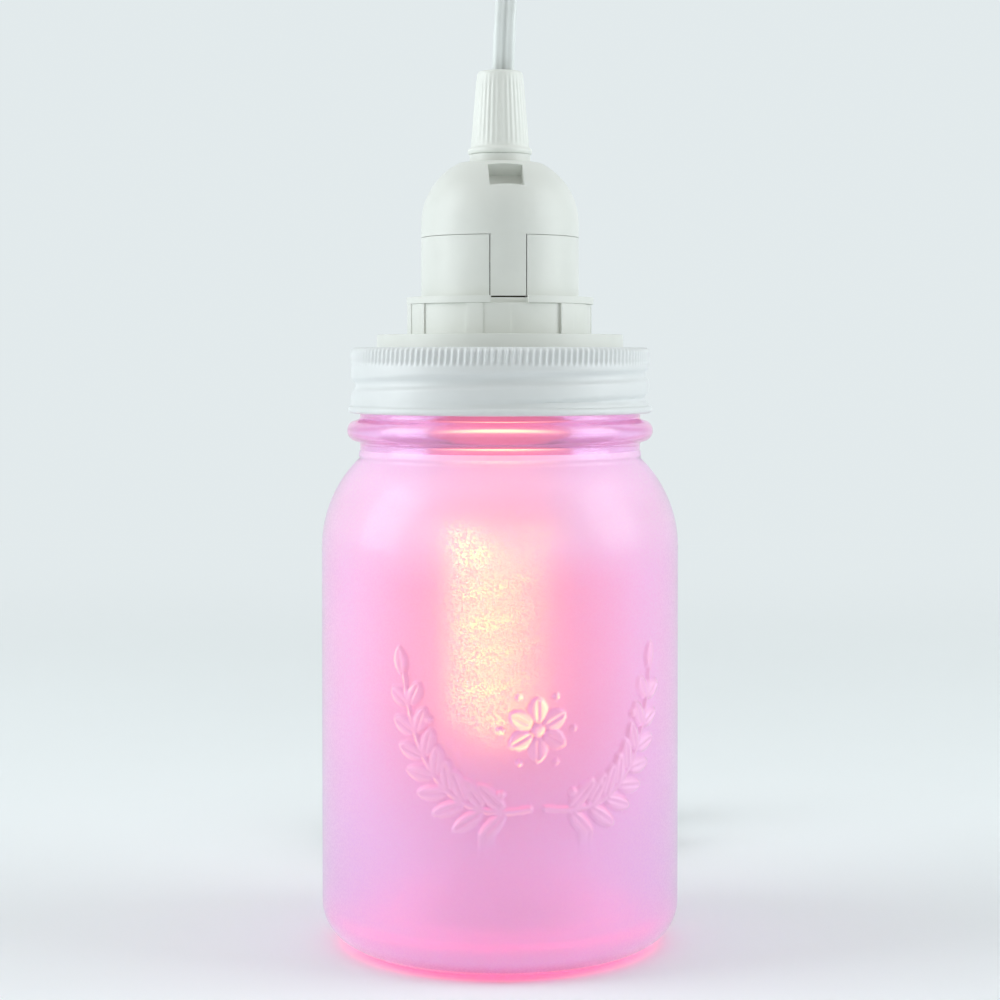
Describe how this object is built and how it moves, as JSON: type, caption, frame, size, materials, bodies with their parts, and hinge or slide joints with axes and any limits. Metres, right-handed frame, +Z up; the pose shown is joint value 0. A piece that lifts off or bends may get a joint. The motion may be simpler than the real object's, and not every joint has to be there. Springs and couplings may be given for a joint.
{
  "type": "mason jar lantern",
  "caption": "Frosted glass jar lantern: screw band and lid insert carry a corded lampholder with a spiral bulb inside the jar, an in-line rocker switch, and a coiled cord with a plug.",
  "frame": {"origin": "middle of the jar's footprint, on the surface it stands on", "axes": "+Z up along the jar's axis; -Y towards the viewer of the picture; +X to the viewer's right"},
  "size_m": [0.0876, 0.1887, 0.2554],
  "materials": {
    "tinted_glass": "pink tinted, frosted",
    "band_coat": "white enamel, satin",
    "holder_plastic": "satin white",
    "cord_jacket": "satin white",
    "contact_brass": "plain",
    "plated_steel": "plain",
    "insulator": "matt",
    "lamp_glass": "opal, coated inside"
  },
  "bodies": {
    "jar": {"glass_jar": "tinted_glass", "cord_lead": "cord_jacket", "cord_coil": "cord_jacket", "cord_tail": "cord_jacket", "coil_tie": "cord_jacket", "plug_body": "holder_plastic", "plug_blades": "contact_brass"},
    "kit": {"lid_insert": "holder_plastic", "upper_shade_ring": "holder_plastic", "lower_shade_ring": "holder_plastic", "socket_body": "holder_plastic", "socket_cap": "holder_plastic", "cord_grip": "holder_plastic", "cord_clamp": "holder_plastic", "contact_carrier": "insulator", "screw_shell": "contact_brass", "line_contact": "contact_brass", "neutral_contact": "contact_brass", "terminal_screws": "plated_steel", "line_lead": "cord_jacket", "neutral_lead": "cord_jacket", "cord_drop_upper": "cord_jacket", "cord_drop_lower": "cord_jacket", "switch_cover": "holder_plastic", "switch_base": "holder_plastic", "switch_contacts": "contact_brass", "switch_screws": "plated_steel"},
    "band": {"screw_band": "band_coat"},
    "rocker": {"switch_rocker": "holder_plastic"},
    "contact": {"centre_contact": "contact_brass"},
    "bulb": {"bulb_screw_base": "plated_steel", "bulb_base_insulator": "insulator", "bulb_tip_contact": "contact_brass", "bulb_housing": "holder_plastic", "ballast_board": "insulator", "bulb_tube": "lamp_glass"}
  },
  "joints": [
    {"name": "kit_lift", "type": "slide", "parent": "jar", "child": "kit", "axis": [0, 0, 1], "range_m": [0, 0.00794]},
    {"name": "band_turn", "type": "hinge", "parent": "kit", "child": "band", "pos_m": [0, 0, 0.1375], "axis": [0, 0, 1], "range_deg": [0, 450]},
    {"name": "bulb_slide", "type": "slide", "parent": "kit", "child": "contact", "axis": [0, 0, 1], "range_m": [-0.00182, 0]},
    {"name": "bulb_turn", "type": "hinge", "parent": "contact", "child": "bulb", "pos_m": [0, 0, 0.145], "axis": [0, 0, 1], "range_deg": [-180, 0]},
    {"name": "rocker_tilt", "type": "hinge", "parent": "kit", "child": "rocker", "pos_m": [0.0055, 0.0626, 0.138], "axis": [1, 0, 0], "range_deg": [-18, 0]}
  ],
  "couplings": [
    {"joint": "kit_lift", "follows": "band_turn", "m_per_rad": 0.0010106},
    {"joint": "bulb_slide", "follows": "bulb_turn", "m_per_rad": 0.00057757}
  ]
}
